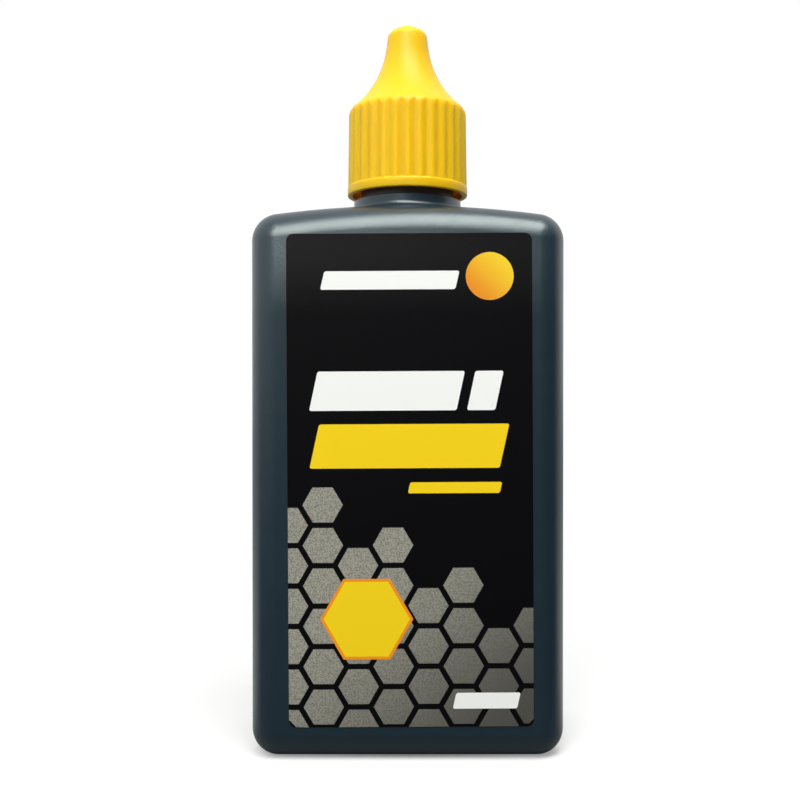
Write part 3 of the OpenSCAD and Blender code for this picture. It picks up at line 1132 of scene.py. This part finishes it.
@dataclass
class Label:
    """The film label and its print: fields of colour and plain shapes, with no lettering."""

    bottle: Bottle
    width: float = 40.0
    height: float = 80.45
    corner_r: float = 1.2
    low_z: float = 5.8
    shift: float = 0.36
    tilt: float = 0.3
    edge_gap: float = 0.02
    corner_steps: int = 8
    ink_h: float = 0.03
    bar_corner: float = 0.35
    badge_edge: float = 0.55
    cell_pitch: float = 6.6
    cell_gap: float = 0.9
    cell_rows: int = 6
    row_step: float = 0.42
    fade_from: Point = (-6.0, -12.0)
    fade_to: Point = (20.0, -40.0)

    @property
    def middle(self) -> Point:
        """Middle of the label, across and up."""
        return self.shift, self.low_z + self.height / 2

    def press(self, obj: bpy.types.Object) -> None:
        """Moves a shape, drawn round the origin, to its place on the label and turns it with it."""
        with editing(obj):
            x, z = self.middle
            bpy.ops.transform.rotate(
                value=math.radians(self.tilt), orient_axis="Y", center_override=(0, 0, 0)
            )
            bpy.ops.transform.translate(value=(x * MM, 0, z * MM))

    def plate(
        self, name: str, size: Point, at: Point, layer: Layer, corner: float = 0.0, slant: float = 0.0
    ) -> bpy.types.Object:
        """A flat plate of film or ink.

        Args:
            name: Name of the new object.
            size: Its width and height.
            at: Its middle, from the middle of the label.
            layer: The layer that its face lies in.
            corner: Radius of its corners.
            slant: How far its upper edge is shifted to the right of its lower edge.

        Returns:
            The plate, drawn with the label's middle as the origin.
        """
        face = -self.bottle.half_d - layer.value
        back = -self.bottle.half_d if layer is Layer.FILM else face + self.ink_h
        low = (at[0] - size[0] / 2, face, at[1] - size[1] / 2)
        obj = block(name, low, (at[0] + size[0] / 2, back, at[1] + size[1] / 2))
        with editing(obj):
            if slant:
                pick_points(lambda co: co.z > at[1])
                bpy.ops.transform.translate(value=(slant * MM, 0, 0))
            if corner:
                pick_edges(lambda a, b: abs(a.y - b.y) > NEAR)
                bpy.ops.mesh.bevel(
                    offset=corner * MM, segments=self.corner_steps, profile=0.5, affect="EDGES"
                )
        return obj

    def disc(
        self, name: str, r: float, at: Point, layer: Layer, sides: int, turn: float = 0.0
    ) -> bpy.types.Object:
        """A flat disc or regular polygon of ink.

        Args:
            name: Name of the new object.
            r: Radius over its corners.
            at: Its middle, from the middle of the label.
            layer: The layer that its face lies in.
            sides: Number of its sides.
            turn: How far it is turned, in degrees.

        Returns:
            The disc, drawn with the label's middle as the origin.
        """
        face = -self.bottle.half_d - layer.value
        bpy.ops.object.select_all(action="DESELECT")
        bpy.ops.mesh.primitive_cylinder_add(vertices=sides, radius=r * MM, depth=self.ink_h * MM)
        obj = bpy.context.object
        rename(obj, name)
        with editing(obj):
            for axis, angle in (("Z", math.radians(turn)), ("X", math.pi / 2)):
                bpy.ops.transform.rotate(value=angle, orient_axis=axis, center_override=(0, 0, 0))
            middle = (at[0] * MM, (face + self.ink_h / 2) * MM, at[1] * MM)
            bpy.ops.transform.translate(value=middle)
        return obj

    def hexagon(self, name: str, r: float, at: Point, layer: Layer) -> bpy.types.Object:
        """A flat hexagon of ink that lies on one of its sides."""
        return self.disc(name, r, at, layer, sides=6, turn=30)

    def lay(self, obj: bpy.types.Object, finish: Finish, *stands_for: str) -> None:
        """Presses a shape on to the bottle and dresses it."""
        self.press(obj)
        dress(obj, finish, "bottle", "label_film", *stands_for)

    def build(self) -> None:
        """Builds the film and every field of its print."""
        film = self.plate("label_sheet", (self.width, self.height), (0, 0), Layer.FILM, self.corner_r)
        self.lay(film, BLACK_FILM, "front_label")
        self.honeycomb()
        self.badge(at=(-7.2, -22.6), r=7.6)
        self.roundel(at=(13.1, 33.2), r=3.9)
        # Name, width and height, middle, slant and ink of each bar
        bars = (
            ("bar_top", (22.0, 3.0), (-3.5, 32.6), 0.7, WHITE_INK),
            ("bar_white", (24.0, 6.4), (-4.4, 14.6), 1.4, WHITE_INK),
            ("bar_white_end", (4.6, 6.4), (11.6, 14.6), 1.4, WHITE_INK),
            ("bar_yellow", (31.0, 7.2), (-0.9, 5.6), 1.6, YELLOW_INK),
            ("bar_fine", (15.0, 1.8), (7.1, -1.2), 0.4, YELLOW_INK),
            ("bar_foot", (10.5, 2.6), (12.0, -36.0), 0.6, WHITE_INK),
        )
        for name, size, at, slant, finish in bars:
            self.lay(self.plate(name, size, at, Layer.FACE, self.bar_corner, slant), finish)

    def honeycomb(self) -> None:
        """Lays the field of warm grey cells that steps down and darkens to the right."""
        x, z = self.middle
        finish = PrintedFilm(
            "grey_ink", (0.32, 0.315, 0.262), 0.55, specular=0.3, speckle=0.55, spots=4.2,
            second=(0.06, 0.06, 0.054),
            fade_from=(x + self.fade_from[0], z + self.fade_from[1]),
            fade_to=(x + self.fade_to[0], z + self.fade_to[1]),
        )
        step_x = self.cell_pitch * math.sqrt(3) / 2
        r = (self.cell_pitch - self.cell_gap) / math.sqrt(3)
        cells = []
        for column in range(round(self.width / step_x) + 1):
            foot = -self.height / 2 + self.cell_pitch / 2 * (column % 2)
            for row in range(self.cell_rows - round(column * self.row_step)):
                at = (-self.width / 2 + step_x * column, foot + self.cell_pitch * row)
                cells.append(self.hexagon("cell", r, at, Layer.FIELD))
        field_of_cells = join("grey_cells", cells)
        self.trim(field_of_cells)
        self.lay(field_of_cells, finish)

    def trim(self, obj: bpy.types.Object) -> None:
        """Cuts a shape off at the label's four edges and across its two lower corners."""
        half_w, half_h = self.width / 2 - self.edge_gap, self.height / 2 - self.edge_gap
        cut_x, cut_z = half_w - self.corner_r / 2, half_h - self.corner_r / 2
        # A point on each cut, and the direction that it faces
        edges = (
            (half_w, 0, 1, 0), (-half_w, 0, -1, 0), (0, half_h, 0, 1), (0, -half_h, 0, -1),
            (-cut_x, -cut_z, -1, -1), (cut_x, -cut_z, 1, -1),
        )
        with editing(obj):
            for x, z, nx, nz in edges:
                bpy.ops.mesh.select_all(action="SELECT")
                bpy.ops.mesh.bisect(
                    plane_co=(x * MM, 0, z * MM), plane_no=(nx, 0, nz), use_fill=True, clear_outer=True
                )

    def badge(self, at: Point, r: float) -> None:
        """Lays the plain yellow badge with its orange edge."""
        self.lay(self.hexagon("badge_edge", r, at, Layer.EDGE), ORANGE_INK)
        self.lay(self.hexagon("badge_face", r - self.badge_edge, at, Layer.FACE), YELLOW_INK)

    def roundel(self, at: Point, r: float) -> None:
        """Lays the small roundel that fades from orange to yellow."""
        x, z = self.middle[0] + at[0], self.middle[1] + at[1]
        finish = PrintedFilm(
            "fading_ink", (0.75, 0.22, 0.008), 0.5, specular=0.3, second=(0.85, 0.62, 0.02),
            fade_from=(x - r, z - r), fade_to=(x + r, z + r),
        )
        self.lay(self.disc("roundel", r, at, Layer.FACE, sides=48), finish)


# The oil


@dataclass
class Oil:
    """The oil that fills the bottle to under the shoulder."""

    def build(self) -> None:
        """Dresses the CAD model's own solid."""
        dress(frame["nodes"]["oil_fill"], OIL, "bottle", "oil")


# The studio


@dataclass
class Lamp:
    """A soft lamp: a lit rectangle that faces the bottle, rolled about its beam."""

    name: str
    at: tuple[float, float, float]
    size: Point
    watts: float
    colour: Colour
    roll: float

    def build(self, target: Vector) -> None:
        """Hangs the lamp, turns it to the target and rolls it."""
        light = bpy.data.lights.new(self.name, "AREA")
        light.shape = "RECTANGLE"
        light.size, light.size_y = self.size
        light.energy = self.watts
        light.color = self.colour
        lamp = bpy.data.objects.new(self.name, light)
        bpy.context.scene.collection.objects.link(lamp)
        lamp.location = self.at
        aim = (target - lamp.location).to_track_quat("-Z", "Y")
        lamp.rotation_euler = (aim @ Quaternion((0, 0, 1), math.radians(self.roll))).to_euler()


@dataclass
class Studio:
    """A pale floor, one soft lamp, a surround that is white to the eye, and the camera.

    A pair of places named _over is the stretch over which a change sets in.
    """

    eye: tuple[float, float, float] = (-0.0013, -0.185, 0.05913)
    lens: float = 47.25
    sensor: float = 36.0
    sight: Point = (0.01, 20.0)
    nod: float = 0.5
    aim_z: float = 0.07
    floor_r: float = 3.0
    floor_tone: float = 0.88
    floor_roughness: float = 0.9
    floor_specular: float = 0.1
    white_over: Point = (-0.03, 0.12)
    dim: float = 0.055
    from_left: float = 0.69
    from_above: float = 0.23
    from_behind: float = 0.42
    bounce: float = 0.02
    gleam: float = 0.62
    gleam_over: Point = (-0.025, 0.012)
    spill: float = 0.25
    mirror_over: Point = (-0.25, 0.35)

    def camera(self) -> None:
        """Sets the camera before the label, nodding slightly, with its frame shifted back up."""
        data = bpy.data.cameras.new("camera")
        data.lens = self.lens
        data.sensor_width = self.sensor
        camera = bpy.data.objects.new("camera", data)
        camera.location = self.eye
        camera.rotation_euler = (math.pi / 2 - math.radians(self.nod), 0, 0)
        data.shift_y = math.tan(math.radians(self.nod)) * self.lens / self.sensor
        data.clip_start, data.clip_end = self.sight
        bpy.context.scene.collection.objects.link(camera)
        bpy.context.scene.camera = camera

    def floor(self) -> None:
        """Lays the pale floor, which turns to plain white away from the bottle.

        In what the bottle mirrors it is dark in front and pale behind, and it throws little light up.
        """
        bpy.ops.object.select_all(action="DESELECT")
        bpy.ops.mesh.primitive_circle_add(vertices=64, radius=self.floor_r, fill_type="NGON")
        floor = bpy.context.object
        floor.name = "floor"
        material = bpy.data.materials.new("pale_floor")
        material.use_nodes = True
        nodes = Nodes(material.node_tree)
        shader = material.node_tree.nodes["Principled BSDF"]
        path = nodes.add("LightPath").outputs
        seen = path["Is Camera Ray"]
        depth = nodes.add("SeparateXYZ", {0: nodes.place()}).outputs[1]
        behind = nodes.ramp(depth, *self.gleam_over)
        gloss = nodes.blend(behind, (self.bounce,) * 3, (self.gleam,) * 3)
        lit = nodes.blend(path["Is Glossy Ray"], (self.spill,) * 3, gloss)
        tone = nodes.blend(seen, lit, (self.floor_tone,) * 3)
        material.node_tree.links.new(tone, shader.inputs["Base Color"])
        shader.inputs["Roughness"].default_value = self.floor_roughness
        shader.inputs["Specular IOR Level"].default_value = self.floor_specular
        away = nodes.add("VectorMath", {0: nodes.place()}, operation="LENGTH").outputs["Value"]
        share = nodes.math("MULTIPLY", nodes.ramp(away, *self.white_over), seen)
        white = nodes.add("Emission", {"Color": (1, 1, 1, 1), "Strength": 1.0})
        mixed = nodes.add("MixShader", {0: share, 1: shader.outputs[0], 2: white.outputs[0]})
        output = material.node_tree.nodes["Material Output"]
        material.node_tree.links.new(mixed.outputs[0], output.inputs["Surface"])
        floor.data.materials.append(material)

    def surround(self) -> None:
        """Makes the surround: white to the eye and where the bottle mirrors what is behind it."""
        world = bpy.data.worlds.new("surround")
        bpy.context.scene.world = world
        world.use_nodes = True
        nodes = Nodes(world.node_tree)
        link = world.node_tree.links.new
        base = world.node_tree.nodes["Background"]
        axes = nodes.add("SeparateXYZ", {0: nodes.add("TexCoord").outputs["Generated"]}).outputs
        behind = nodes.ramp(axes[1], *self.mirror_over)
        lit: object = self.dim
        # Where the light from each side sets in and is full, along its axis
        sides = (
            (nodes.ramp(axes[0], 0.2, -0.9), self.from_left),
            (nodes.ramp(axes[2], 0.0, 1.0), self.from_above),
            (nodes.ramp(axes[1], 0.0, 0.8), self.from_behind),
        )
        for share, strength in sides:
            lit = nodes.math("MULTIPLY_ADD", share, strength, lit)
        link(lit, base.inputs["Strength"])
        path = nodes.add("LightPath").outputs
        mirrored = nodes.math("MULTIPLY", path["Is Glossy Ray"], behind)
        seen = nodes.math("MAXIMUM", path["Is Camera Ray"], path["Is Transmission Ray"])
        white = nodes.add("Background", {"Color": (1, 1, 1, 1), "Strength": 1.0})
        share = nodes.math("MAXIMUM", seen, mirrored)
        mixed = nodes.add("MixShader", {0: share, 1: base.outputs[0], 2: white.outputs[0]})
        base.inputs["Color"].default_value = (1, 1, 1, 1)
        link(mixed.outputs[0], world.node_tree.nodes["World Output"].inputs["Surface"])

    def build(self) -> None:
        """Builds the studio round the finished bottle."""
        self.camera()
        self.floor()
        self.surround()
        window = Lamp(
            "window", at=(0.01, -0.27, 0.47), size=(0.60, 0.24), watts=3.95,
            colour=(1.0, 0.99, 0.97), roll=50.0,
        )
        window.build(Vector((0, 0, self.aim_z)))
        bpy.context.scene.view_settings.view_transform = "Standard"


def main() -> None:
    """Builds every piece in order, and then the studio round them."""
    logging.basicConfig(level=logging.INFO, format="%(name)s: %(message)s")
    bottle = Bottle()
    bottle.build()
    insert = DropperInsert(bottle)
    insert.build()
    ScrewCap(bottle, insert).build()
    Label(bottle).build()
    Oil().build()
    Studio().build()


if __name__ == "__main__":
    main()
